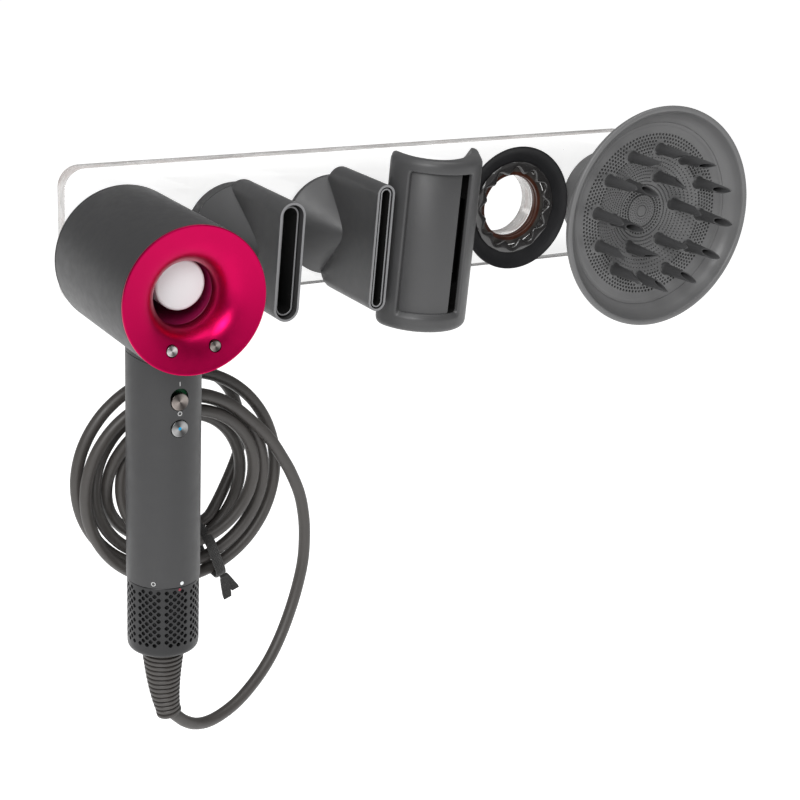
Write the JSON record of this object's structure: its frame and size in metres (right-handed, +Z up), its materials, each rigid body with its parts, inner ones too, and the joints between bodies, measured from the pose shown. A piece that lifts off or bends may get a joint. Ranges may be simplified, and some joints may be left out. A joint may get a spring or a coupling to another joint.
{
  "type": "hair dryer wall holder",
  "caption": "Clear acrylic wall plate holding a hair dryer on a rod, its coiled cord on a hook, and clip-on air attachments on magnetic dock rings.",
  "frame": {"origin": "centre of the wall face of the holder, on the back of the middle adhesive pad", "axes": "+X along the plate to the right as seen from the room, +Y into the wall, +Z up"},
  "size_m": [0.4411, 0.1293, 0.3442],
  "materials": {
    "clear_acrylic": "polished clear",
    "frosted_acrylic": "frosted",
    "dock_brown": "satin",
    "charcoal_plastic": "fine matte",
    "magenta_plastic": "satin",
    "magnet_metal": "satin",
    "dark_gloss": "gloss",
    "steel": "spun",
    "cord_rubber": "matte",
    "strap_fabric": "looped nylon",
    "board": "solder mask",
    "ceramic": "unglazed"
  },
  "bodies": {
    "holder": {"wall_plate": "clear_acrylic", "adhesive_pad_1": "clear_acrylic", "adhesive_pad_2": "clear_acrylic", "adhesive_pad_3": "clear_acrylic", "dock_ring_1": "dock_brown", "dock_ring_2": "dock_brown", "dock_ring_3": "dock_brown", "dock_ring_4": "dock_brown", "dock_ring_5": "dock_brown", "dryer_rod": "frosted_acrylic", "rod_base": "frosted_acrylic", "rod_screw": "steel", "cord_hook": "clear_acrylic", "cord_coil": "cord_rubber", "cord_lead": "cord_rubber", "cord_tail": "cord_rubber", "cord_plug": "cord_rubber", "cord_tie": "strap_fabric"},
    "dryer": {"head_shell": "charcoal_plastic", "flare_bezel": "magenta_plastic", "bore_liner": "magenta_plastic", "outlet_ring": "charcoal_plastic", "outlet_magnet": "magnet_metal", "heater_ring": "ceramic", "control_board": "board", "handle_shell": "charcoal_plastic", "switch_board": "board", "motor_housing": "magnet_metal", "motor_mount": "dark_gloss", "handle_base": "charcoal_plastic", "strain_relief": "cord_rubber"},
    "speed_key": {"speed_button": "steel"},
    "heat_key": {"heat_button": "steel"},
    "power_slider": {"power_switch": "charcoal_plastic"},
    "cool_shot_key": {"cool_shot_button": "charcoal_plastic"},
    "fan": {"impeller": "steel"},
    "filter_inner": {"filter_sleeve": "steel"},
    "filter_outer": {"filter_cage": "charcoal_plastic"},
    "wide_nozzle_base": {"wide_nozzle_magnet": "magnet_metal"},
    "wide_nozzle": {"wide_nozzle_shell": "charcoal_plastic", "wide_nozzle_duct": "charcoal_plastic"},
    "narrow_nozzle": {"narrow_nozzle_magnet": "magnet_metal", "narrow_nozzle_shell": "charcoal_plastic", "narrow_nozzle_duct": "charcoal_plastic"},
    "barrel": {"barrel_magnet": "magnet_metal", "barrel_shell": "charcoal_plastic", "barrel_drum": "charcoal_plastic"},
    "ring_base": {"ring_magnet": "magnet_metal"},
    "ring": {"ring_dish": "charcoal_plastic", "ring_teeth": "dark_gloss"},
    "diffuser_base": {"diffuser_magnet": "magnet_metal"},
    "diffuser": {"diffuser_bowl": "charcoal_plastic", "diffuser_disc": "charcoal_plastic", "diffuser_hub": "charcoal_plastic"}
  },
  "joints": [
    {"name": "dryer_pull", "type": "slide", "parent": "holder", "child": "dryer", "axis": [0, -1, 0], "range_m": [0, 0.09], "deforming": ["cord_lead"]},
    {"name": "speed_press", "type": "slide", "parent": "dryer", "child": "speed_key", "axis": [0, 1, 0], "range_m": [0, 0.001], "stiffness_N_per_m": 300},
    {"name": "heat_press", "type": "slide", "parent": "dryer", "child": "heat_key", "axis": [0, 1, 0], "range_m": [0, 0.001], "stiffness_N_per_m": 300},
    {"name": "power_slide", "type": "slide", "parent": "dryer", "child": "power_slider", "axis": [0, 0, 1], "range_m": [0, 0.0022]},
    {"name": "cool_shot_press", "type": "slide", "parent": "dryer", "child": "cool_shot_key", "axis": [0, 1, 0], "range_m": [0, 0.0008], "stiffness_N_per_m": 300},
    {"name": "fan_spin", "type": "hinge", "parent": "dryer", "child": "fan", "pos_m": [-0.1668, -0.0884, -0.12], "axis": [0, 0, 1], "continuous": true},
    {"name": "filter_slide", "type": "slide", "parent": "dryer", "child": "filter_inner", "axis": [0, 0, -1], "range_m": [0, 0.036]},
    {"name": "filter_twist", "type": "hinge", "parent": "filter_inner", "child": "filter_outer", "pos_m": [-0.1668, -0.0884, -0.19], "axis": [0, 0, -1], "range_deg": [0, 45]},
    {"name": "wide_nozzle_pull", "type": "slide", "parent": "holder", "child": "wide_nozzle_base", "axis": [0, -1, 0], "range_m": [0, 0.06]},
    {"name": "wide_nozzle_turn", "type": "hinge", "parent": "wide_nozzle_base", "child": "wide_nozzle", "pos_m": [-0.092, -0.02, -0.0035], "axis": [0, -1, 0], "continuous": true},
    {"name": "narrow_nozzle_pull", "type": "slide", "parent": "holder", "child": "narrow_nozzle", "axis": [0, -1, 0], "range_m": [0, 0.0015]},
    {"name": "barrel_pull", "type": "slide", "parent": "holder", "child": "barrel", "axis": [0, -1, 0], "range_m": [0, 0.001]},
    {"name": "ring_pull", "type": "slide", "parent": "holder", "child": "ring_base", "axis": [0, -1, 0], "range_m": [0, 0.003]},
    {"name": "ring_turn", "type": "hinge", "parent": "ring_base", "child": "ring", "pos_m": [0.09505, -0.02, -0.0015], "axis": [0, -1, 0], "continuous": true},
    {"name": "diffuser_pull", "type": "slide", "parent": "holder", "child": "diffuser_base", "axis": [0, -1, 0], "range_m": [0, 0.06]},
    {"name": "diffuser_turn", "type": "hinge", "parent": "diffuser_base", "child": "diffuser", "pos_m": [0.1667, -0.02, -0.0015], "axis": [0, -1, 0], "continuous": true}
  ]
}
